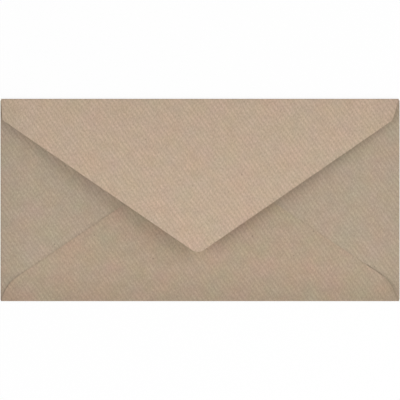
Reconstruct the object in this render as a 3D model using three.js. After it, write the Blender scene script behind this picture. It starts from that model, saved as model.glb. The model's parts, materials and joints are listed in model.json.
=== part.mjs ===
// Post envelope of ribbed kraft paper, lying with its address side down. Its seal flap isn't gummed down yet: it
// springs up from its fold, and its gum, which shrank as it dried, has bowed it down again towards the tip.
// One cut sheet makes it: a front panel and four flaps, joined to the panel by four folds.
// Two lines of gum hold the bottom flap down on the side flaps, and a gummed strip lies inside the seal flap.
// Millimetres: +X runs along the long side, +Y towards the top fold, +Z up from the address side.
import * as THREE from "three";

// The closed envelope, over its folds, and the paper that it is cut from.
const envelope_width = 219;
const envelope_height = 111;
const paper_thickness = 0.15;

// What lies between the layers of the folded envelope.
const pocket_gap = 0.6;
const seam_gum_thickness = 0.05;
const seal_flap_clearance = 0.25;
const seal_flap_hinge_clearance = 0.05;

// How far each fold stops short of the envelope's corner, and of the fold that crosses it.
const seal_flap_root_inset = 0.5;
const bottom_flap_root_inset = 0.3;
const corner_notch = 0.2;

// Seal flap: its depth to the sharp point, which the tip radius then rounds off, its shoulders where the
// short steep edges meet the long slanted ones, and its offset from the middle of the envelope. Its tip stands
// ajar by the first angle, seen from the fold, and its slope falls by the second from the fold to the tip.
const seal_flap_depth = 85;
const seal_flap_offset = -1.15;
const seal_shoulder_drop = 11.7;
const seal_shoulder_inset = 2.5;
const seal_left_shoulder_radius = 3;
const seal_right_shoulder_radius = 14;
const seal_tip_radius = 5.5;
const seal_flap_ajar = 4;
const seal_flap_bow = 12;

// Bottom flap: its height to the sharp point, and its shoulders.
const bottom_flap_height = 81.3;
const bottom_shoulder_rise = 10.3;
const bottom_shoulder_inset = 3.85;
const bottom_shoulder_radius = 20;
const bottom_tip_radius = 30;

// Side flaps: how far they reach under the bottom flap's edge, and how wide the throat between their upper
// edges still is where these go under the bottom flap.
const seam_underlap = 7;
const throat_width = 43;
const side_tip_radius = 10;

// Gum: the lines in the side seams, which fill the underlap but for a margin, and the seal flap's strip.
const seam_gum_margin = 1.5;
const seam_gum_start = 16;
const seam_gum_end_margin = 5;
const seal_gum_width = 15;
const seal_gum_margin = 3;
const seal_gum_thickness = 0.03;
const seal_gum_clearance = 0.02;

// How finely arcs and folds are divided, how far apart the rows of the bowed flap and of its gum may lie, and
// how close two rows are taken for one.
const arc_steps = 8;
const fold_steps = 8;
const bow_step = 4;
const gum_step = 3;
const same_height = 0.01;

const half_width = envelope_width / 2;
const half_height = envelope_height / 2;

// Undersides of the layers above the front panel, bottom to top.
const side_flap_level = paper_thickness + pocket_gap;
const bottom_flap_level = side_flap_level + paper_thickness + seam_gum_thickness;
const seal_flap_level = bottom_flap_level + paper_thickness + seal_flap_clearance;

// A fold is a half turn of paper from the front panel up to its flap.
function fold_radius(level) {
  return (level + paper_thickness) / 2;
}
const side_fold_radius = fold_radius(side_flap_level);
const bottom_fold_radius = fold_radius(bottom_flap_level);
const top_fold_radius = fold_radius(seal_flap_level);

// Where the flat of the front panel ends and the folds begin.
const side_fold_start = half_width - side_fold_radius;
const bottom_fold_start = half_height - bottom_fold_radius;
const top_fold_start = half_height - top_fold_radius;

const kraft_outside = { color: "#b9a088", roughness: 0.85, metalness: 0 };
const kraft_fold = { color: "#b0967d", roughness: 0.85, metalness: 0 };
const dried_gum = { color: "#c9b79a", roughness: 0.4, metalness: 0 };

function piece(name, geometry, look) {
  const mesh = new THREE.Mesh(geometry, new THREE.MeshStandardMaterial(look));
  mesh.name = name;
  return mesh;
}

// A line is a point on it and its slope.
function height_on(line, x) {
  return line.y + line.slope * (x - line.x);
}

function crossing(a, b) {
  const x = (b.y - a.y + a.slope * a.x - b.slope * b.x) / (a.slope - b.slope);
  return { x, y: height_on(a, x) };
}

// The length of edge from one corner to the next that the first one's arc may take up.
function room_towards(from, to) {
  const length = Math.hypot(to.x - from.x, to.y - from.y);
  return to.radius ? length / 2 : length;
}

// A closed outline through the corners, with an arc at each corner that has a radius.
function outline(corners) {
  const shape = new THREE.Shape();
  corners.forEach((corner, i) => {
    const here = new THREE.Vector2(corner.x, corner.y);
    if (!corner.radius) {
      add_point(shape, here, i);
      return;
    }
    const before = corners.at(i - 1);
    const after = corners[(i + 1) % corners.length];
    const back = new THREE.Vector2(before.x, before.y).sub(here).normalize();
    const on = new THREE.Vector2(after.x, after.y).sub(here).normalize();
    const half_angle = Math.acos(back.dot(on)) / 2;
    const wanted = corner.radius / Math.tan(half_angle);
    const tangent = Math.min(wanted, room_towards(corner, before), room_towards(corner, after));
    const radius = tangent * Math.tan(half_angle);
    const centre = back.clone().add(on).normalize();
    centre.multiplyScalar(radius / Math.sin(half_angle)).add(here);
    const first = back.multiplyScalar(tangent).add(here).sub(centre);
    const last = on.multiplyScalar(tangent).add(here).sub(centre);
    add_point(shape, first.clone().add(centre), i);
    shape.absarc(centre.x, centre.y, radius, first.angle(), last.angle(), first.cross(last) < 0);
  });
  return shape;
}

function add_point(shape, point, index) {
  if (index === 0) shape.moveTo(point.x, point.y);
  else shape.lineTo(point.x, point.y);
}

// A flat sheet cut to the outline, with its underside at the given height.
function sheet(corners, underside, thickness = paper_thickness) {
  const options = { depth: thickness, bevelEnabled: false, curveSegments: arc_steps };
  return new THREE.ExtrudeGeometry(outline(corners), options).translate(0, 0, underside);
}

// A strip of paper bent about an axis along X at height radius: from flat below the axis, out to +Y and
// back to flat above it, less the slope that its flap rises at.
function fold_strip(radius, length, slope = 0) {
  const from = -Math.PI / 2;
  const to = Math.PI / 2 - THREE.MathUtils.degToRad(slope);
  const section = new THREE.Shape();
  section.absarc(0, radius, radius, from, to, false);
  section.absarc(0, radius, radius - paper_thickness, to, from, true);
  const options = { depth: length, bevelEnabled: false, curveSegments: fold_steps / 2 };
  const along_x = new THREE.Matrix4().makeBasis(
    new THREE.Vector3(0, 1, 0),
    new THREE.Vector3(0, 0, 1),
    new THREE.Vector3(1, 0, 0),
  );
  return new THREE.ExtrudeGeometry(section, options).translate(0, 0, -length / 2).applyMatrix4(along_x);
}

// Places a fold strip at one edge of the front panel, turned so that it bulges outwards.
function placed_fold(name, geometry, x, y, turn) {
  const strip = piece(name, geometry, kraft_fold);
  strip.position.set(x, y, 0);
  strip.rotation.z = turn;
  return strip;
}

function front_panel() {
  const corners = [
    { x: -side_fold_start, y: -bottom_fold_start },
    { x: side_fold_start, y: -bottom_fold_start },
    { x: side_fold_start, y: top_fold_start },
    { x: -side_fold_start, y: top_fold_start },
  ];
  return piece("front_panel", sheet(corners, 0), kraft_outside);
}

// The bottom flap's slanted edge on the right, which is the visible seam: from its shoulder up to its point.
const bottom_shoulder = { x: half_width - bottom_shoulder_inset, y: bottom_shoulder_rise - half_height };
const bottom_point = { x: 0, y: bottom_flap_height - half_height };
const seam_slope = (bottom_point.y - bottom_shoulder.y) / (bottom_point.x - bottom_shoulder.x);
const seam_angle = Math.atan(-seam_slope);

function bottom_flap() {
  const root = half_width - bottom_flap_root_inset;
  const corners = [
    { x: -root, y: -bottom_fold_start },
    { x: root, y: -bottom_fold_start },
    { ...bottom_shoulder, radius: bottom_shoulder_radius },
    { ...bottom_point, radius: bottom_tip_radius },
    { x: -bottom_shoulder.x, y: bottom_shoulder.y, radius: bottom_shoulder_radius },
  ];
  return piece("bottom_flap", sheet(corners, bottom_flap_level), kraft_outside);
}

function bottom_fold() {
  const length = envelope_width - 2 * bottom_flap_root_inset;
  return placed_fold("bottom_fold", fold_strip(bottom_fold_radius, length), 0, -bottom_fold_start, Math.PI);
}

// A line beside the seam on the right, the given distance in under the bottom flap.
function beside_seam(distance) {
  return { x: bottom_point.x, y: bottom_point.y - distance / Math.cos(seam_angle), slope: seam_slope };
}

// The side folds and flaps run between the bottom and the top fold, clear of both.
const side_root_low = -bottom_fold_start + corner_notch;
const side_root_high = top_fold_start - corner_notch;

// The side flap's upper edge on the right, one side of the throat: from its root down to the seam.
const throat_meets_seam = height_on(beside_seam(0), throat_width / 2);
const throat_edge = {
  x: side_fold_start,
  y: side_root_high,
  slope: (side_root_high - throat_meets_seam) / (side_fold_start - throat_width / 2),
};

// Mirrors a list of corners to the left side, and keeps them running anticlockwise.
function on_side(side, corners) {
  const placed = corners.map((corner) => ({ ...corner, x: side * corner.x }));
  return side < 0 ? placed.reverse() : placed;
}

function side_flap(side, name) {
  const corners = [
    { x: side_fold_start, y: side_root_low },
    { x: side_fold_start, y: side_root_high },
    { ...crossing(throat_edge, beside_seam(seam_underlap)), radius: side_tip_radius },
  ];
  return piece(name, sheet(on_side(side, corners), side_flap_level), kraft_outside);
}

function side_fold(side, name) {
  const strip = fold_strip(side_fold_radius, side_root_high - side_root_low);
  const middle = (side_root_high + side_root_low) / 2;
  return placed_fold(name, strip, side * side_fold_start, middle, (-side * Math.PI) / 2);
}

// A line of gum between the side flap and the bottom flap, along their seam.
function seam_gum(side, name) {
  const outer = beside_seam(seam_gum_margin);
  const inner = beside_seam(seam_underlap - seam_gum_margin);
  const low = half_width - seam_gum_start;
  const high = crossing(throat_edge, outer).x + seam_gum_end_margin;
  const corners = [
    { x: low, y: height_on(inner, low) },
    { x: low, y: height_on(outer, low) },
    { x: high, y: height_on(outer, high) },
    { x: high, y: height_on(inner, high) },
  ];
  const underside = side_flap_level + paper_thickness;
  return piece(name, sheet(on_side(side, corners), underside, seam_gum_thickness), dried_gum);
}

// Equal steps between two values, none longer than longest.
function steps(from, to, longest) {
  const count = Math.ceil(Math.abs(to - from) / longest);
  return Array.from({ length: count + 1 }, (_, i) => from + ((to - from) * i) / count);
}

// How far a convex outline reaches in x, at a height y.
function span(points, y) {
  const found = points.flatMap((a, i) => {
    const b = points[(i + 1) % points.length];
    if ((a.y - y) * (b.y - y) > 0) return [];
    return a.y === b.y ? [a.x, b.x] : [a.x + ((b.x - a.x) * (y - a.y)) / (b.y - a.y)];
  });
  return [Math.min(...found), Math.max(...found)];
}

// Rows across a convex outline from its top down: one at each of its points, and more where these lie far apart.
function rows_across(points, longest) {
  const heights = points.map((point) => point.y).sort((a, b) => b - a);
  const rows = [heights[0]];
  heights.forEach((y) => {
    if (rows.at(-1) - y > same_height || y === heights.at(-1)) rows.push(...steps(rows.at(-1), y, longest).slice(1));
  });
  return rows.map((y) => span(points, y).map((x) => [x, y]));
}

// A closed sheet from rows of points across its plan. place takes a point of the plan, and a height above the
// sheet's underside, to where it lies.
function bent_sheet(rows, place, low, high) {
  const corners = [];
  const add_triangle = (...points) => {
    const has_area = points.every((point, i) => point.distanceTo(points.at(i - 1)) > 0);
    if (has_area) corners.push(...points);
  };
  const add_quad = (a, b, c, d) => {
    add_triangle(a, b, c);
    add_triangle(a, c, d);
  };
  const under = rows.map((row) => row.map(([x, y]) => place(x, y, low)));
  const over = rows.map((row) => row.map(([x, y]) => place(x, y, high)));
  const end = rows[0].length - 1;
  for (let r = 1; r < rows.length; r++) {
    for (let i = 1; i <= end; i++) {
      add_quad(over[r - 1][i - 1], over[r][i - 1], over[r][i], over[r - 1][i]);
      add_quad(under[r - 1][i - 1], under[r - 1][i], under[r][i], under[r][i - 1]);
    }
    add_quad(over[r - 1][0], under[r - 1][0], under[r][0], over[r][0]);
    add_quad(over[r - 1][end], over[r][end], under[r][end], under[r - 1][end]);
  }
  for (let i = 1; i <= end; i++) {
    add_quad(over[0][i - 1], over[0][i], under[0][i], under[0][i - 1]);
    add_quad(over.at(-1)[i - 1], under.at(-1)[i - 1], under.at(-1)[i], over.at(-1)[i]);
  }
  return new THREE.BufferGeometry().setFromPoints(corners);
}

// The seal flap's own frame: the fold's axis along X, and -Y towards the tip. It leaves the end of the fold at
// the root slope, and follows an arc that has the tip slope at the tip.
const root_slope = THREE.MathUtils.degToRad(seal_flap_ajar + seal_flap_bow / 2);
const tip_slope = THREE.MathUtils.degToRad(seal_flap_ajar - seal_flap_bow / 2);
const seal_flap_underside = seal_flap_level - top_fold_radius;
const seal_root_y = seal_flap_underside * Math.sin(root_slope);
const seal_root_z = seal_flap_underside * Math.cos(root_slope);
const seal_point = { x: seal_flap_offset, y: top_fold_radius - seal_flap_depth };
const seal_shoulder_y = top_fold_radius - seal_shoulder_drop;
const seal_shoulder_reach = half_width - seal_shoulder_inset;
const seal_slope = (seal_shoulder_y - seal_point.y) / seal_shoulder_reach;
const bow_curvature = (Math.sin(root_slope) - Math.sin(tip_slope)) / (seal_root_y - seal_point.y);

function on_seal_flap(x, y, height) {
  const slope = Math.asin(Math.sin(root_slope) - bow_curvature * (seal_root_y - y));
  const rise = (Math.cos(slope) - Math.cos(root_slope)) / bow_curvature;
  return new THREE.Vector3(x, y + height * Math.sin(slope), seal_root_z + rise + height * Math.cos(slope));
}

function seal_flap() {
  const root = half_width - seal_flap_root_inset;
  const root_y = seal_root_y - seal_flap_hinge_clearance;
  const left = seal_flap_offset - seal_shoulder_reach;
  const right = seal_flap_offset + seal_shoulder_reach;
  const corners = [
    { x: -root, y: root_y },
    { x: left, y: seal_shoulder_y, radius: seal_left_shoulder_radius },
    { ...seal_point, radius: seal_tip_radius },
    { x: right, y: seal_shoulder_y, radius: seal_right_shoulder_radius },
    { x: root, y: root_y },
  ];
  const rows = rows_across(outline(corners).getPoints(arc_steps), bow_step);
  return piece("seal_flap", bent_sheet(rows, on_seal_flap, 0, paper_thickness), kraft_outside);
}

// The gummed strip follows both slanted edges of the seal flap and meets at its tip.
function seal_gum() {
  const rise = Math.hypot(1, seal_slope);
  const outer = seal_point.y + seal_gum_margin * rise;
  const inner = outer + seal_gum_width * rise;
  const reach = (seal_shoulder_y - inner) / seal_slope;
  const along = steps(-reach, 0, gum_step).concat(steps(0, reach, gum_step).slice(1));
  const rows = along.map((x) =>
    steps(outer, inner, gum_step).map((y) => [seal_point.x + x, y + seal_slope * Math.abs(x)]),
  );
  const top = -seal_gum_clearance;
  return piece("seal_gum", bent_sheet(rows, on_seal_flap, top - seal_gum_thickness, top), dried_gum);
}

function top_fold() {
  const length = envelope_width - 2 * seal_flap_root_inset;
  const strip = fold_strip(top_fold_radius, length, seal_flap_ajar + seal_flap_bow / 2);
  return placed_fold("top_fold", strip, 0, top_fold_start, 0);
}

// Everything that swings with the seal flap turns about the top fold's own axis.
function seal_flap_group() {
  const group = new THREE.Group();
  group.position.set(0, top_fold_start, top_fold_radius);
  group.add(seal_flap(), seal_gum());
  return group;
}

const envelope = new THREE.Group();
envelope.add(front_panel(), bottom_fold(), bottom_flap(), top_fold());
envelope.add(side_fold(-1, "left_fold"), side_flap(-1, "left_side_flap"), seam_gum(-1, "left_seam_gum"));
envelope.add(side_fold(1, "right_fold"), side_flap(1, "right_side_flap"), seam_gum(1, "right_seam_gum"));
envelope.add(seal_flap_group());

export default envelope;
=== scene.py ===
import json
import math

import bmesh
import bpy
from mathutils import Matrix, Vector, noise


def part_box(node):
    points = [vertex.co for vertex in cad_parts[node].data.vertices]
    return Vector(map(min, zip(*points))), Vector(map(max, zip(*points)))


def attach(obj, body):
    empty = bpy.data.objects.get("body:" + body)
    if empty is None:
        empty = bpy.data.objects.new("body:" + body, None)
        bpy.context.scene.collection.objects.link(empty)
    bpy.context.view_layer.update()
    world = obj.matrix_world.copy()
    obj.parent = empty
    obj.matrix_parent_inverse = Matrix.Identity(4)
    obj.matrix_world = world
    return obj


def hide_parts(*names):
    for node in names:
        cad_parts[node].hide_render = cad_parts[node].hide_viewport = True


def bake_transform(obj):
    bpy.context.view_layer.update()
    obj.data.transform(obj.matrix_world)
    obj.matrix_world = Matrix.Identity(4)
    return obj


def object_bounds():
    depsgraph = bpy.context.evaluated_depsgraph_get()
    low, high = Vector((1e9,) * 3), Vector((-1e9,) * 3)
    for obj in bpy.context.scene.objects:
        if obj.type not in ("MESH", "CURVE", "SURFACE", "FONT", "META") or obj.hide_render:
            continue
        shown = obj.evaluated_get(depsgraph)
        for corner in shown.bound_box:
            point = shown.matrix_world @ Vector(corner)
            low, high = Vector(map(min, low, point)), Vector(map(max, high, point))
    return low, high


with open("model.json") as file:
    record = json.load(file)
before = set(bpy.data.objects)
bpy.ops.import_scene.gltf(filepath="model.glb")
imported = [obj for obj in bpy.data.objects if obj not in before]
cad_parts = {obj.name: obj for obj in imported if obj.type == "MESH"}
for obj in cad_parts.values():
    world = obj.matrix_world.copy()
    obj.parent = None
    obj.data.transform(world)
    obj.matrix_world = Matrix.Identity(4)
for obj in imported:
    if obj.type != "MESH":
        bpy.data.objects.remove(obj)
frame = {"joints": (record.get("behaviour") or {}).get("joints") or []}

box_at_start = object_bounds()


# Front panel
# The address side of the envelope, a plain rectangle of ribbed kraft paper that lies flat on the table.
# It is the middle of the one cut sheet that the whole envelope is folded and gummed from.

MM = 0.001

half_width = box_at_start[1].x
half_height = box_at_start[1].y
paper_thickness = 0.15 * MM

# The creases are pressed down hard, and away from them the layers spring up to the frame's levels.
side_crease_height = 0.40 * MM
bottom_crease_height = 0.60 * MM
side_crease_start = half_width - side_crease_height / 2
bottom_crease_start = half_height - bottom_crease_height / 2
top_crease_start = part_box("front_panel")[1].y

front_grid_step = 3 * MM


def linear(hex_colour):
    """A colour written as sRGB hex, as the linear colour that a shader takes."""
    parts = [int(hex_colour[i : i + 2], 16) / 255 for i in (1, 3, 5)]
    return [c / 12.92 if c <= 0.04045 else ((c + 0.055) / 1.055) ** 2.4 for c in parts] + [1.0]


def add_node(tree, kind, settings, inputs):
    """Adds a node to the tree, sets its own settings, sets or links its inputs by name or number, and gives
    its outputs."""
    node = tree.nodes.new(kind)
    for name, value in settings.items():
        setattr(node, name, value)
    for name, value in inputs.items():
        if isinstance(value, bpy.types.NodeSocket):
            tree.links.new(value, node.inputs[name])
        else:
            node.inputs[name].default_value = value
    return node.outputs


# The ribs slant across the sheet, and the fibres lie mostly along them.
rib_angle = math.radians(-36)

# Nearly all the values of a noise texture lie between these two.
noise_reach = {"From Min": 0.25, "From Max": 0.75}


def pressed_ribs(tree, blank):
    """The ribs, as a wave that runs a little unevenly and is pressed in more at some places than others."""
    rib_pitch = 2.23 * MM
    drift_width = 30 * MM
    drift_in_ribs = 0.6
    pressing_width = 5 * MM

    drift = add_node(
        tree, "ShaderNodeTexNoise", {}, {"Vector": blank, "Scale": 1 / drift_width, "Detail": 1.0}
    )["Fac"]
    across = add_node(
        tree, "ShaderNodeVectorMath", {"operation": "DOT_PRODUCT"},
        {0: blank, 1: (math.cos(rib_angle) / rib_pitch, math.sin(rib_angle) / rib_pitch, 0)},
    )["Value"]
    turns = add_node(
        tree, "ShaderNodeMath", {"operation": "MULTIPLY_ADD"}, {0: drift, 1: drift_in_ribs, 2: across}
    )[0]
    angle = add_node(tree, "ShaderNodeMath", {"operation": "MULTIPLY"}, {0: turns, 1: math.tau})[0]
    wave = add_node(tree, "ShaderNodeMath", {"operation": "SINE"}, {0: angle})[0]
    pressed_in = add_node(
        tree, "ShaderNodeTexNoise", {}, {"Vector": blank, "Scale": 1 / pressing_width, "Detail": 2.0}
    )["Fac"]
    return add_node(tree, "ShaderNodeMath", {"operation": "MULTIPLY"}, {0: wave, 1: pressed_in})[0]


def fibre_grain(tree, blank):
    """The grain of the fibres. Single fibres are too fine to show in the picture, so the grain is drawn as
    coarse as one of its pixels."""
    grain_width = 0.6 * MM
    grain_length = 1.2 * MM

    along_ribs = add_node(
        tree, "ShaderNodeMapping", {},
        {"Vector": blank, "Rotation": (0, 0, -rib_angle), "Scale": (1 / grain_width, 1 / grain_length, 1)},
    )["Vector"]
    return add_node(
        tree, "ShaderNodeTexNoise", {}, {"Vector": along_ribs, "Scale": 1.0, "Detail": 6.0, "Roughness": 0.6}
    )["Fac"]


def cloudy_pulp(tree, blank, tone, other_tone):
    """The pulp's colour, in cloudy patches of two tones and in others that are more or less yellow."""
    tone_patch_width = 16 * MM
    yellow_patch_width = 11 * MM
    blue_in_yellowest = 0.96
    blue_in_bluest = 1.04

    tone_patches = add_node(
        tree, "ShaderNodeTexNoise", {}, {"Vector": blank, "Scale": 1 / tone_patch_width, "Detail": 3.0}
    )["Fac"]
    share = add_node(tree, "ShaderNodeMapRange", {}, {"Value": tone_patches, **noise_reach})["Result"]
    two_toned = add_node(
        tree, "ShaderNodeMix", {"data_type": "RGBA"}, {0: share, 6: linear(tone), 7: linear(other_tone)}
    )[2]
    yellow_patches = add_node(
        tree, "ShaderNodeTexNoise", {}, {"Vector": blank, "Scale": 1 / yellow_patch_width, "Detail": 3.0}
    )["Fac"]
    blue_share = add_node(
        tree, "ShaderNodeMapRange", {},
        {"Value": yellow_patches, **noise_reach, "To Min": blue_in_yellowest, "To Max": blue_in_bluest},
    )["Result"]
    tint = add_node(tree, "ShaderNodeCombineXYZ", {}, {"X": 1.0, "Y": 1.0, "Z": blue_share})["Vector"]
    return add_node(
        tree, "ShaderNodeVectorMath", {"operation": "MULTIPLY"}, {0: two_toned, 1: tint}
    )["Vector"]


def uneven_shades(tree, blank, rib, grain):
    """How light the paper is by its grain, the amount of pulp and a few flecks of bark, and by painted shade
    of its ribs.
    """
    rib_painted_contrast = 0.11
    grain_shade_range = {"To Min": 0.78, "To Max": 1.22}
    pulp_patch_width = 5 * MM
    pulp_shade_range = {"To Min": 0.94, "To Max": 1.06}
    fleck_spacing = 42 * MM
    fleck_core = 0.126 * MM
    fleck_rim = 0.504 * MM
    fleck_darkness = 0.6

    # Painted shade: the ribs' relief is also drawn into the colour as light and dark stripes, on top of
    # their bump.
    rib_painted_shade = add_node(
        tree, "ShaderNodeMath", {"operation": "MULTIPLY_ADD"}, {0: rib, 1: rib_painted_contrast, 2: 1.0}
    )[0]
    grain_shade = add_node(
        tree, "ShaderNodeMapRange", {}, {"Value": grain, **noise_reach, **grain_shade_range}
    )["Result"]
    pulp_patches = add_node(
        tree, "ShaderNodeTexNoise", {}, {"Vector": blank, "Scale": 1 / pulp_patch_width, "Detail": 2.0}
    )["Fac"]
    pulp_shade = add_node(
        tree, "ShaderNodeMapRange", {}, {"Value": pulp_patches, **noise_reach, **pulp_shade_range}
    )["Result"]
    off_fleck = add_node(
        tree, "ShaderNodeTexVoronoi", {"voronoi_dimensions": "2D"},
        {"Vector": blank, "Scale": 1 / fleck_spacing},
    )["Distance"]
    fleck_shade = add_node(
        tree, "ShaderNodeMapRange", {},
        {
            "Value": off_fleck,
            "From Min": fleck_core / fleck_spacing,
            "From Max": fleck_rim / fleck_spacing,
            "To Min": fleck_darkness,
        },
    )["Result"]
    return rib_painted_shade, grain_shade, pulp_shade, fleck_shade


def painted_edge_shades(tree, blank):
    """Painted shade: how much darker the paper is made along its creases, and towards the ends and the
    bottom of the envelope."""
    crease_reach = 0.9 * MM
    crease_painted_shade = 0.88
    side_reach = 15 * MM
    side_painted_shade = 0.94
    bottom_reach = 18 * MM
    bottom_painted_shade = 0.87

    place = add_node(tree, "ShaderNodeSeparateXYZ", {}, {"Vector": blank})
    across_middle = add_node(tree, "ShaderNodeMath", {"operation": "ABSOLUTE"}, {0: place["X"]})[0]
    past_side = add_node(
        tree, "ShaderNodeMath", {"operation": "SUBTRACT"}, {0: across_middle, 1: half_width}
    )[0]
    from_middle = add_node(tree, "ShaderNodeMath", {"operation": "ABSOLUTE"}, {0: place["Y"]})[0]
    past_end = add_node(
        tree, "ShaderNodeMath", {"operation": "SUBTRACT"}, {0: from_middle, 1: half_height}
    )[0]
    outside = add_node(tree, "ShaderNodeMath", {"operation": "MAXIMUM"}, {0: past_side, 1: past_end})[0]
    above_bottom = add_node(tree, "ShaderNodeMath", {"operation": "ADD"}, {0: place["Y"], 1: half_height})[0]

    # Each of these is painted shade, darkest at its edge and gone at its reach.
    shades = []
    for past_edge, reach, darkness in (
        (outside, crease_reach, crease_painted_shade),
        (past_side, side_reach, side_painted_shade),
        (above_bottom, bottom_reach, bottom_painted_shade),
    ):
        off_edge = add_node(tree, "ShaderNodeMath", {"operation": "ABSOLUTE"}, {0: past_edge})[0]
        shades.append(add_node(
            tree, "ShaderNodeMapRange", {}, {"Value": off_edge, "From Max": reach, "To Min": darkness}
        )["Result"])
    return shades


def kraft_paper(name, tone, other_tone):
    """Ribbed kraft paper: unbleached pulp, pressed between ribbed felts while it was wet. It gives the eye a
    matt brown with fine parallel ribs, a fibre grain, cloudy patches and a few dark flecks, and painted
    shade on its ribs, its creases and towards its ends and bottom."""
    rib_height = 0.05 * MM
    grain_height = 0.03 * MM
    rough_in_hollows = 0.92
    rough_on_grain = 0.78

    material = bpy.data.materials.new(name)
    material.use_nodes = True
    tree = material.node_tree
    shader = tree.nodes["Principled BSDF"]
    shader.inputs["IOR"].default_value = 1.5
    shader.inputs["Specular IOR Level"].default_value = 0.25
    blank = add_node(tree, "ShaderNodeUVMap", {"uv_map": "blank"}, {})["UV"]
    rib = pressed_ribs(tree, blank)
    grain = fibre_grain(tree, blank)

    colour = cloudy_pulp(tree, blank, tone, other_tone)
    # Painted shade is among these: the ribs' stripes, and the darker creases, ends and bottom.
    shades = [*uneven_shades(tree, blank, rib, grain), *painted_edge_shades(tree, blank)]
    shade = shades[0]
    for other in shades[1:]:
        shade = add_node(tree, "ShaderNodeMath", {"operation": "MULTIPLY"}, {0: shade, 1: other})[0]
    shaded = add_node(
        tree, "ShaderNodeVectorMath", {"operation": "SCALE"}, {0: colour, "Scale": shade}
    )["Vector"]
    tree.links.new(shaded, shader.inputs["Base Color"])

    # The felts smoothed the paper a little where they pressed hardest, which is where the grain stands up.
    roughness = add_node(
        tree, "ShaderNodeMapRange", {},
        {"Value": grain, **noise_reach, "To Min": rough_in_hollows, "To Max": rough_on_grain},
    )["Result"]
    tree.links.new(roughness, shader.inputs["Roughness"])

    grain_relief = add_node(
        tree, "ShaderNodeMath", {"operation": "MULTIPLY"}, {0: grain, 1: grain_height}
    )[0]
    height = add_node(
        tree, "ShaderNodeMath", {"operation": "MULTIPLY_ADD"}, {0: rib, 1: rib_height, 2: grain_relief}
    )[0]
    bump = add_node(tree, "ShaderNodeBump", {}, {"Strength": 1.0, "Distance": 1.0, "Height": height})
    tree.links.new(bump["Normal"], shader.inputs["Normal"])
    return material


def steps(start, end, longest):
    """Even steps from start to end, none longer than longest."""
    count = max(1, math.ceil(abs(end - start) / longest))
    return [start + (end - start) * i / count for i in range(count + 1)]


def folded_sheet(name, grid, place, material, thickness=paper_thickness, inside=0.0):
    """One closed mesh of a thin sheet. The grid has rows of points on the flat blank, seen from its inner
    side, and place(x, y) gives where folding takes each of them. inside moves the sheet off towards that
    side."""
    nearby = 0.02 * MM
    same_point = 0.002 * MM
    sharp_edge = math.radians(50)
    mesh = bmesh.new()
    blank_map = mesh.loops.layers.uv.new("blank")

    def raised(x, y, by):
        """A point of the mesh, off the middle of the sheet by this much, square to the sheet there."""
        along_x = place(x + nearby, y) - place(x - nearby, y)
        along_y = place(x, y + nearby) - place(x, y - nearby)
        return mesh.verts.new(place(x, y) + along_x.cross(along_y).normalized() * by)

    inner = [[(raised(x, y, inside + thickness / 2), (x, y)) for x, y in row] for row in grid]
    outer = [[(raised(x, y, inside - thickness / 2), (x, y)) for x, y in row] for row in grid]

    def add_face(*corners):
        """A smooth face of the mesh, which also says where its corners lie on the blank."""
        face = mesh.faces.new([vertex for vertex, _ in corners])
        face.smooth = True
        for loop, (_, point) in zip(face.loops, corners):
            loop[blank_map].uv = point

    for a in range(len(grid) - 1):
        b = a + 1
        for i in range(len(grid[0]) - 1):
            j = i + 1
            add_face(inner[a][i], inner[a][j], inner[b][j], inner[b][i])
            add_face(outer[a][i], outer[b][i], outer[b][j], outer[a][j])
        add_face(inner[a][0], inner[b][0], outer[b][0], outer[a][0])
        add_face(inner[a][-1], outer[a][-1], outer[b][-1], inner[b][-1])
    for i in range(len(grid[0]) - 1):
        j = i + 1
        add_face(inner[0][i], outer[0][i], outer[0][j], inner[0][j])
        add_face(inner[-1][i], inner[-1][j], outer[-1][j], outer[-1][i])

    # A row at the tip of a flap is a single point.
    bmesh.ops.remove_doubles(mesh, verts=mesh.verts, dist=same_point)
    bmesh.ops.recalc_face_normals(mesh, faces=mesh.faces)
    data = bpy.data.meshes.new(name)
    mesh.to_mesh(data)
    mesh.free()
    data.set_sharp_from_angle(angle=sharp_edge)
    data.materials.append(material)
    piece = bpy.data.objects.new(name, data)
    bpy.context.scene.collection.objects.link(piece)
    return piece


def place_on_front(x, y):
    """The front panel stays flat on the table."""
    return Vector((x, y, paper_thickness / 2))


kraft = kraft_paper("ribbed_kraft_paper", "#b09a87", "#aa9d87")

front_grid = [
    [(x, y) for x in steps(-side_crease_start, side_crease_start, front_grid_step)]
    for y in steps(-bottom_crease_start, top_crease_start, front_grid_step)
]
front_panel = folded_sheet("front_panel_paper", front_grid, place_on_front, kraft)
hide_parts("front_panel")
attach(front_panel, "folded_envelope")


# Side flaps
# Two rounded triangles of the same sheet, folded in over the front panel from its short edges.
# Their lower edges lie under the bottom flap, and their upper edges, the throat, under the seal flap.

side_root_low = -54.7 * MM
side_root_high = 54.55 * MM
side_point = (14.3 * MM, 7.8 * MM)
side_point_radius = 10 * MM
side_grid_step = 2.5 * MM
side_columns = 44

# The layers spring up from the creases like a flat pillow, and ripple a little.
pillow_rise = 0.50 * MM
pillow_reach = 15 * MM
ripple_height = 0.05 * MM
ripple_length = 34 * MM
side_ripple_pattern = 0.3


def rounded_outline(corners):
    """A closed outline through corners of (along the crease, out from the crease, radius), with an arc at
    each one that has a radius."""
    arc_steps = 12
    outline = []
    for i, (along, out, radius) in enumerate(corners):
        corner = Vector((along, out))
        if radius == 0:
            outline.append(corner)
            continue
        back = (Vector(corners[i - 1][:2]) - corner).normalized()
        on = (Vector(corners[(i + 1) % len(corners)][:2]) - corner).normalized()
        half = back.angle(on) / 2
        centre = corner + (back + on).normalized() * radius / math.sin(half)
        first = corner + back * radius / math.tan(half) - centre
        turn = math.pi - 2 * half
        for k in range(arc_steps + 1):
            cos, sin = math.cos(turn * k / arc_steps), math.sin(turn * k / arc_steps)
            outline.append(centre + Vector((first.x * cos - first.y * sin, first.x * sin + first.y * cos)))
    return outline


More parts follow.
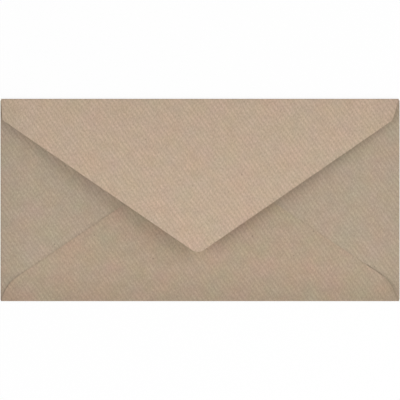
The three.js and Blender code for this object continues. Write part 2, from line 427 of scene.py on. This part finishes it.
def span(outline, out):
    """From where to where, along the crease, an outline reaches at this distance out from it."""
    rounding = 1e-9
    found = []
    for a, b in zip(outline, outline[1:] + outline[:1]):
        near, far = sorted((a, b), key=lambda point: point.y)
        if near.y - rounding <= out <= far.y + rounding:
            if far.y - near.y < rounding:
                found += [near.x, far.x]
            else:
                found.append(near.x + (far.x - near.x) * (out - near.y) / (far.y - near.y))
    return min(found), max(found)


def flap_rows(outline, paper_in_crease, row_step, columns):
    """Rows across a flap from the start of its crease to its tip, each a distance and the places along it.
    The outline's own points get rows too, but for those that lie closer together than the least step."""
    crease_steps = 12
    least_step = 0.02 * MM
    outs = sorted({point.y for point in outline})
    rows = [(paper_in_crease * i / crease_steps, span(outline, 0)) for i in range(crease_steps + 1)]
    reached = 0
    for out in outs[1:]:
        if out - reached > least_step or out == outs[-1]:
            new_outs = steps(reached, out, row_step)[1:]
            rows += [(paper_in_crease + new_out, span(outline, new_out)) for new_out in new_outs]
            reached = out
    return [(d, [low + (high - low) * i / columns for i in range(columns + 1)]) for d, (low, high) in rows]


def crease_length(height):
    """The paper in a pressed crease: half a turn through the middle of its thickness."""
    return math.pi * (height - paper_thickness) / 2


def in_crease(distance, height):
    """How far in and how far up a point of the crease lies, by its distance past the start of the crease."""
    radius = (height - paper_thickness) / 2
    return -radius * math.sin(distance / radius), height / 2 - radius * math.cos(distance / radius)


def springing(off_crease):
    """0 at a crease, and ever more slowly up to 1 where the layers lie at their full height."""
    return 1 - (1 - min(max(off_crease / pillow_reach, 0), 1)) ** 2


def side_level(x, y):
    """Underside of a side flap. The paper has also taken up some damp, and ripples slightly."""
    held = springing(side_crease_start - abs(x)) * springing(bottom_crease_start + y)
    ripple = ripple_height * noise.noise(Vector((x / ripple_length, y / ripple_length, side_ripple_pattern)))
    return side_crease_height - paper_thickness + (pillow_rise + ripple) * held


def place_on_side(x, y):
    """Folds a point of a side flap's part of the blank in over the front panel."""
    side = math.copysign(1, x)
    distance = abs(x) - side_crease_start
    if distance < crease_length(side_crease_height):
        inward, up = in_crease(distance, side_crease_height)
        return Vector((side * (side_crease_start - inward), y, up))
    folded = side * (side_crease_start - distance + crease_length(side_crease_height))
    return Vector((folded, y, side_level(folded, y) + paper_thickness / 2))


side_outline = rounded_outline([
    (side_root_low, 0, 0),
    (side_root_high, 0, 0),
    (side_point[1], side_crease_start - side_point[0], side_point_radius),
])
side_rows = flap_rows(side_outline, crease_length(side_crease_height), side_grid_step, side_columns)

for name, side in (("left", -1), ("right", 1)):
    side_grid = [[(side * (side_crease_start + d), y) for y in row] for d, row in side_rows]
    side_flap = folded_sheet(name + "_side_flap_paper", side_grid, place_on_side, kraft)
    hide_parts(name + "_side_flap", name + "_fold")
    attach(side_flap, "folded_envelope")


# Bottom flap
# The large flap with rounded shoulders, folded up from the long bottom edge and gummed to both side flaps.
# Its slanted edges are the two seams that show, and the side flaps' edges print through it as faint steps.

bottom_root = 109.2 * MM
bottom_left_shoulder = (-105.65 * MM, 9.75 * MM)
bottom_right_shoulder = (103.2 * MM, 11.95 * MM)
bottom_shoulder_radius = 20 * MM
bottom_flap_height = 81.3 * MM
bottom_point_radius = 30 * MM
bottom_grid_step = 1.5 * MM
bottom_columns = 146

seam_gap = 0.05 * MM
unheld_sag = 0.10 * MM
print_through_width = 2.2 * MM

# Where a size differs between the sides, -1 is the left one and 1 the right one.
seam_press = 0.04 * MM
seam_press_start = {-1: 76 * MM, 1: 42 * MM}
loose_corner_curl = {-1: 0.13 * MM, 1: 0.5 * MM}
loose_corner_start = {-1: 93.4 * MM, 1: 88.2 * MM}
seam_edge_width = 1.4 * MM
seam_change = 7 * MM
curl_above_crease = 4 * MM

bottom_crease_depth = half_height - bottom_crease_start
seam_slope = (bottom_flap_height - bottom_right_shoulder[1]) / bottom_right_shoulder[0]
bottom_outline = rounded_outline([
    (-bottom_root, 0, 0),
    (bottom_root, 0, 0),
    (bottom_right_shoulder[0], bottom_right_shoulder[1] - bottom_crease_depth, bottom_shoulder_radius),
    (0, bottom_flap_height - bottom_crease_depth, bottom_point_radius),
    (bottom_left_shoulder[0], bottom_left_shoulder[1] - bottom_crease_depth, bottom_shoulder_radius),
])


def smooth(value):
    """0 below 0, 1 above 1, and a soft S between them."""
    value = min(max(value, 0), 1)
    return value * value * (3 - 2 * value)


def cut_edges(outline):
    """The straight pieces of a flap's cut edge, each as the a, b and c of a line on which
    a * along + b * out + c is 0."""
    pieces = []
    for start, end in zip(outline, outline[1:] + outline[:1]):
        edge = end - start
        if max(start.y, end.y) > 0 and edge.length > 0:
            a, b = -edge.y / edge.length, edge.x / edge.length
            pieces.append((a, b, -a * start.x - b * start.y))
    return pieces


def depth_inside(edges, along, out):
    """How far a point lies inside the cut edge of a flap; negative outside it."""
    return min(a * along + b * out + c for a, b, c in edges)


side_flap_edges = cut_edges(side_outline)
bottom_flap_edges = cut_edges(bottom_outline)


def bottom_level(x, y):
    """Underside of the bottom flap: on the side flaps, and lower where none lies under it. Its cut edge is
    pressed down along the right seam and near the left corner, and stands up at the corners, where no gum
    holds it."""
    over_side_flap = depth_inside(side_flap_edges, y, side_crease_start - abs(x))
    behind_seam = depth_inside(bottom_flap_edges, x, y + bottom_crease_start)
    above_crease = bottom_crease_start + y
    sag = unheld_sag * smooth(1 / 2 - over_side_flap / print_through_width) * springing(above_crease)
    side = math.copysign(1, x)
    press = seam_press * smooth((abs(x) - seam_press_start[side]) / seam_change)
    corner_curl = loose_corner_curl[side] * smooth((abs(x) - loose_corner_start[side]) / seam_change)
    curl = (corner_curl - press) * smooth(1 - behind_seam / seam_edge_width)
    lift = curl * smooth(above_crease / curl_above_crease) - sag
    return side_level(x, y) + paper_thickness + seam_gap + lift


def place_on_bottom(x, y):
    """Folds a point of the bottom flap's part of the blank up over the side flaps."""
    distance = -y - bottom_crease_start
    if distance < crease_length(bottom_crease_height):
        inward, up = in_crease(distance, bottom_crease_height)
        return Vector((x, inward - bottom_crease_start, up))
    folded = distance - crease_length(bottom_crease_height) - bottom_crease_start
    return Vector((x, folded, bottom_level(x, folded) + paper_thickness / 2))


# Painted light: the bottom flap is the same paper, given a warmer, yellower tone for how the light falls on
# it and passes through it.
kraft_of_bottom_flap_painted_warmer = kraft_paper("ribbed_kraft_paper_bottom_flap_painted_warmer", "#b29884", "#aa9c84")

bottom_crease_length = crease_length(bottom_crease_height)
bottom_rows = flap_rows(bottom_outline, bottom_crease_length, bottom_grid_step, bottom_columns)
bottom_grid = [[(x, -bottom_crease_start - d) for x in row] for d, row in bottom_rows]
bottom_flap = folded_sheet("bottom_flap_paper", bottom_grid, place_on_bottom, kraft_of_bottom_flap_painted_warmer)
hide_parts("bottom_flap", "bottom_fold")
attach(bottom_flap, "folded_envelope")


# Seam gum
# Two lines of dextrin gum, rolled on wet along the inner side of the bottom flap and dried there, which hold
# it down on the side flaps. They show only from inside the pocket, as a thin amber line.

seam_gum_reach = (19.0 * MM, 93.5 * MM)
seam_gum_edges = (1.5 * MM, 5.5 * MM)
seam_gum_thickness = 0.03 * MM
seam_gum_step = 2 * MM
seam_gum_step_across = 1 * MM


def dried_gum(name, tone, other_tone):
    """Dextrin gum dried on paper: a film that soaks in and stays a little glossy. It gives the eye a
    yellowish, streaky band with a soft shine beside the matt paper."""
    streak_width = 2 * MM
    streak_reach = {"From Min": 0.3, "From Max": 0.7}
    roughness_range = {"To Min": 0.32, "To Max": 0.48}
    material = bpy.data.materials.new(name)
    material.use_nodes = True
    tree = material.node_tree
    shader = tree.nodes["Principled BSDF"]
    shader.inputs["IOR"].default_value = 1.48
    blank = add_node(tree, "ShaderNodeUVMap", {"uv_map": "blank"}, {})["UV"]
    streaks = add_node(
        tree, "ShaderNodeTexNoise", {}, {"Vector": blank, "Scale": 1 / streak_width, "Detail": 3.0}
    )["Fac"]
    colour = add_node(
        tree, "ShaderNodeMix", {"data_type": "RGBA"}, {0: streaks, 6: linear(tone), 7: linear(other_tone)}
    )[2]
    roughness = add_node(
        tree, "ShaderNodeMapRange", {}, {"Value": streaks, **streak_reach, **roughness_range}
    )["Result"]
    tree.links.new(colour, shader.inputs["Base Color"])
    tree.links.new(roughness, shader.inputs["Roughness"])
    return material


gum = dried_gum("dextrin_gum_film", "#b8a080", "#c2a988")


def on_bottom_blank(x, behind):
    """The place on the blank of a point of the bottom flap at this x, this far behind the right seam or its
    mirror image on the left."""
    folded = bottom_flap_height - half_height - seam_slope * abs(x) - behind * math.hypot(1, seam_slope)
    return x, -(folded + crease_length(bottom_crease_height) + 2 * bottom_crease_start)


for name, side in (("left", -1), ("right", 1)):
    gum_grid = [
        [on_bottom_blank(side * x, behind) for behind in steps(*seam_gum_edges, seam_gum_step_across)]
        for x in steps(*seam_gum_reach, seam_gum_step)
    ]
    seam_gum = folded_sheet(
        name + "_seam_gum_film", gum_grid, place_on_bottom, gum,
        seam_gum_thickness, paper_thickness / 2 + seam_gap / 2,
    )
    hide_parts(name + "_seam_gum")
    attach(seam_gum, "folded_envelope")


# Seal flap
# The pointed flap that closes the envelope, hinged on the long top crease of the same sheet. It isn't gummed
# down yet: the springy crease lifts it, and its gum, which shrank as it dried, bows it down towards the tip.

hinge = frame["joints"][0]["pos_m"]
ajar = math.radians(-frame["joints"][0]["range_deg"][0])
bow = math.radians(12)
root_slope = ajar + bow / 2
tip_slope = ajar - bow / 2

# The die cuts the right end back a little as soon as it has passed the crease.
seal_root = 109.0 * MM
seal_right_cutback = (108.5 * MM, 0.8 * MM)
seal_left_shoulder = (-108.15 * MM, 11.05 * MM)
seal_left_shoulder_radius = 3.0 * MM
seal_right_shoulder = (105.6 * MM, 11.05 * MM)
seal_right_shoulder_radius = 6 * MM
seal_point = (-1.15 * MM, 84.35 * MM)
seal_point_radius = 5.5 * MM
seal_grid_step = 2.5 * MM
seal_columns = 88
seal_ripple_height = 0.06 * MM
seal_ripple_pattern = 5.7

seal_crease_radius = hinge[2] - paper_thickness / 2
seal_crease_length = seal_crease_radius * (math.pi - root_slope)
bow_curvature = (math.sin(root_slope) - math.sin(tip_slope)) / seal_point[1]


def place_on_seal(x, y):
    """Folds a point of the seal flap's part of the blank over the top crease and along the flap's bow."""
    distance = y - top_crease_start
    turn = min(distance / seal_crease_radius, math.pi - root_slope)
    crease_y = hinge[1] + seal_crease_radius * math.sin(turn)
    crease_z = hinge[2] - seal_crease_radius * math.cos(turn)
    if distance < seal_crease_length:
        return Vector((x, crease_y, crease_z))
    out = distance - seal_crease_length
    slope = math.asin(math.sin(root_slope) - bow_curvature * out)
    rise = (math.cos(slope) - math.cos(root_slope)) / bow_curvature
    ripple = noise.noise(Vector((x / ripple_length, out / ripple_length, seal_ripple_pattern)))
    ripple *= seal_ripple_height * smooth(out / pillow_reach)
    return Vector((x, crease_y - out, crease_z + rise + ripple))


# Painted light: the seal flap is the same paper as the back, given a lighter and warmer tone for the
# brighter light on the flap.
kraft_of_seal_flap_painted_lighter = kraft_paper("ribbed_kraft_paper_seal_flap_painted_lighter", "#c1a792", "#bba992")

seal_outline = rounded_outline([
    (-seal_root, 0, 0),
    (seal_root, 0, 0),
    (*seal_right_cutback, 0),
    (*seal_right_shoulder, seal_right_shoulder_radius),
    (*seal_point, seal_point_radius),
    (*seal_left_shoulder, seal_left_shoulder_radius),
])
seal_rows = flap_rows(seal_outline, seal_crease_length, seal_grid_step, seal_columns)
seal_grid = [[(x, top_crease_start + d) for x in row] for d, row in seal_rows]
seal_flap = folded_sheet("seal_flap_paper", seal_grid, place_on_seal, kraft_of_seal_flap_painted_lighter)
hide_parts("seal_flap", "top_fold")
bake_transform(seal_flap)


# Seal gum
# The remoistenable strip of dextrin gum along both slanted edges inside the seal flap, meeting at the tip.
# It was laid on as a wet film by a roller and dried, and is licked or wetted to close the envelope.

seal_gum_margin = 3 * MM
seal_gum_width = 15 * MM
seal_gum_gap = 0.02 * MM
seal_gum_thickness = 0.03 * MM
seal_gum_step = 2 * MM

seal_edge_slope = (seal_point[1] - seal_left_shoulder[1]) / (seal_point[0] - seal_left_shoulder[0])
seal_edge_rise = math.hypot(1, seal_edge_slope)
seal_gum_outer = seal_point[1] - seal_gum_margin * seal_edge_rise
seal_gum_inner = seal_gum_outer - seal_gum_width * seal_edge_rise
seal_gum_reach = (seal_gum_inner - seal_left_shoulder[1]) / seal_edge_slope

seal_gum_grid = [
    [
        (seal_point[0] + x, top_crease_start + seal_crease_length + out - seal_edge_slope * abs(x))
        for out in steps(seal_gum_inner, seal_gum_outer, seal_gum_step)
    ]
    for x in steps(-seal_gum_reach, 0, seal_gum_step) + steps(0, seal_gum_reach, seal_gum_step)[1:]
]
seal_gum = folded_sheet(
    "seal_gum_film", seal_gum_grid, place_on_seal, gum,
    seal_gum_thickness, paper_thickness / 2 + seal_gum_gap + seal_gum_thickness / 2,
)
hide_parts("seal_gum")
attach(seal_gum, "flap")


# Table
# A sheet of white card on a table, the plain ground that the envelope lies on. It shows as even white
# and keeps a breath of the envelope's shadow.

card_reach = 3.0
card_level = -0.02 * MM
shadow_reach = 0.15
even_white_from = 0.5
white_near_envelope = 0.88

card_mesh = bpy.data.meshes.new("table_card")
card_mesh.from_pydata(
    [(x * card_reach, y * card_reach, card_level) for x, y in ((-1, -1), (1, -1), (1, 1), (-1, 1))],
    [],
    [(0, 1, 2, 3)],
)
card = bpy.data.objects.new("table_card", card_mesh)
bpy.context.scene.collection.objects.link(card)

white_card = bpy.data.materials.new("matt_white_card")
white_card.use_nodes = True
card_tree = white_card.node_tree
card_shader = card_tree.nodes["Principled BSDF"]
card_shader.inputs["Base Color"].default_value = linear("#fafafa")
card_shader.inputs["Roughness"].default_value = 0.9
card_shader.inputs["Specular IOR Level"].default_value = 0.0


def seen_directly(tree):
    """1 where the camera sees this material, directly or in gloss or glass, and 0 where it only gives
    light."""
    rays = add_node(tree, "ShaderNodeLightPath", {}, {})
    seen = add_node(
        tree, "ShaderNodeMath", {"operation": "ADD"}, {0: rays["Is Camera Ray"], 1: rays["Is Glossy Ray"]}
    )[0]
    return add_node(
        tree, "ShaderNodeMath", {"operation": "ADD", "use_clamp": True},
        {0: seen, 1: rays["Is Transmission Ray"]},
    )[0]


# The shadow shows near the envelope, and further out the card is as white as the room.
even_white = add_node(card_tree, "ShaderNodeEmission", {}, {"Strength": 1.0})[0]
card_place = add_node(card_tree, "ShaderNodeTexCoord", {}, {})["Object"]
from_middle = add_node(card_tree, "ShaderNodeVectorMath", {"operation": "LENGTH"}, {0: card_place})["Value"]
whiteness = add_node(
    card_tree, "ShaderNodeMapRange", {},
    {
        "Value": from_middle,
        "From Min": shadow_reach,
        "From Max": even_white_from,
        "To Min": white_near_envelope,
    },
)["Result"]
share_of_white = add_node(
    card_tree, "ShaderNodeMath", {"operation": "MULTIPLY"}, {0: seen_directly(card_tree), 1: whiteness}
)[0]
card_surface = add_node(
    card_tree, "ShaderNodeMixShader", {}, {0: share_of_white, 1: card_shader.outputs[0], 2: even_white}
)[0]
card_tree.links.new(card_surface, card_tree.nodes["Material Output"].inputs["Surface"])
card_mesh.materials.append(white_card)


# Light
# Large soft lamps stand low around the table, as on a copy stand: two to the right, which are the stronger
# pair, and one to the left. The white room gives the little light that is left.

room_level = 0.11

world = bpy.data.worlds.new("white_room")
bpy.context.scene.world = world
world.use_nodes = True
room_tree = world.node_tree
room_light = room_tree.nodes["Background"]
room_light.inputs["Color"].default_value = (1, 1, 1, 1)
room_light.inputs["Strength"].default_value = room_level
room_white = add_node(room_tree, "ShaderNodeBackground", {}, {"Color": (1, 1, 1, 1), "Strength": 1.0})[0]
room_surface = add_node(
    room_tree, "ShaderNodeMixShader", {},
    {0: seen_directly(room_tree), 1: room_light.outputs[0], 2: room_white},
)[0]
room_tree.links.new(room_surface, room_tree.nodes["World Output"].inputs["Surface"])


def add_lamp(name, azimuth, level):
    """A square soft box, aimed at the envelope, that lights a level white sheet to this share of white."""
    distance = 2.0
    size = 1.6
    elevation = math.radians(28)
    lamp_data = bpy.data.lights.new(name, "AREA")
    lamp_data.shape = "SQUARE"
    lamp_data.size = size
    lamp_data.energy = level * math.pi * (math.pi * distance**2 + size**2) / math.sin(elevation)
    lamp = bpy.data.objects.new(name, lamp_data)
    lamp.location = Vector((
        distance * math.cos(elevation) * math.cos(azimuth),
        distance * math.cos(elevation) * math.sin(azimuth),
        distance * math.sin(elevation),
    ))
    lamp.rotation_euler = (-lamp.location).to_track_quat("-Z", "Y").to_euler()
    lamp.visible_camera = False
    bpy.context.scene.collection.objects.link(lamp)


add_lamp("near_right_soft_box", azimuth=math.radians(-45), level=0.34)
add_lamp("far_right_soft_box", azimuth=math.radians(25), level=0.24)
add_lamp("left_soft_box", azimuth=math.radians(188), level=0.31)


# Camera
# Straight above the middle of the envelope, with the top crease at the top of the picture, as far away as a
# 200 mm lens has to stand for the envelope to fill the picture's width.

camera_data = bpy.data.cameras.new("overhead_camera")
camera_data.lens = 200
camera_data.sensor_width = 36
picture_width = 219.5 * MM
camera_distance = picture_width * camera_data.lens / camera_data.sensor_width
camera = bpy.data.objects.new("overhead_camera", camera_data)
camera.location = (0, 0, side_crease_height / 2 + camera_distance)
bpy.context.scene.collection.objects.link(camera)
bpy.context.scene.camera = camera
bpy.context.scene.view_settings.view_transform = "Standard"
